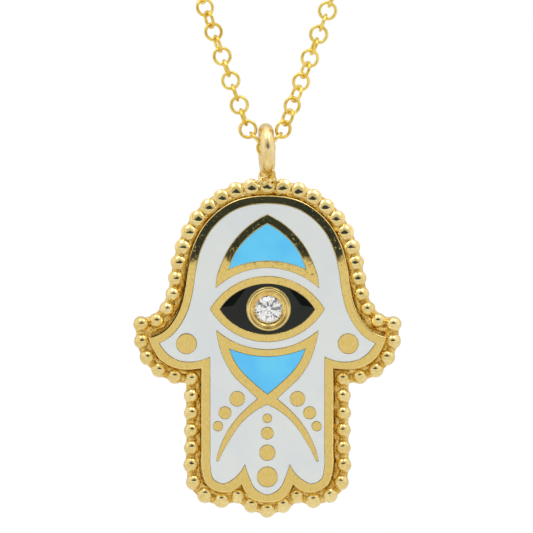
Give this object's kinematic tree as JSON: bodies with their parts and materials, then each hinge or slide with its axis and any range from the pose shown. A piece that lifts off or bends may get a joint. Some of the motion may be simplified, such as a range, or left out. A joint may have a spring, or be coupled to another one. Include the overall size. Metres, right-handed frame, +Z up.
{
  "type": "hamsa pendant necklace",
  "caption": "Hamsa hand pendant with cell enamel, bead border, eye and round stone, hanging free on a fine round-link chain loop.",
  "frame": {"origin": "inner side of the clasp, where the chain rests on the back of the neck", "axes": "+X to the viewer's right, +Y from the pendant's face towards the back of the neck, +Z up; the pendant's face looks along -Y"},
  "size_m": [0.083, 0.0789, 0.1682],
  "materials": {
    "pendant_gold": "fine satin on the face, bright on beads and bail",
    "chain_gold": "bright drawn wire",
    "white_enamel": "glossy, ground flush",
    "blue_enamel": "glossy, ground flush",
    "black_enamel": "glossy, ground flush",
    "clear_stone": "polished facets"
  },
  "bodies": {
    "chain": {"chain": "chain_gold", "clasp": "chain_gold"},
    "pendant": {"hamsa_frame": "pendant_gold", "white_enamel": "white_enamel", "upper_blue_enamel": "blue_enamel", "lower_blue_enamel": "blue_enamel", "black_enamel": "black_enamel", "bezel": "pendant_gold", "diamond": "clear_stone"}
  },
  "joints": [
    {"name": "pendant_swing", "type": "hinge", "parent": "chain", "child": "pendant", "pos_m": [0, -0.074, -0.13626], "axis": [1, 0, 0], "range_deg": [-75, 75]}
  ]
}
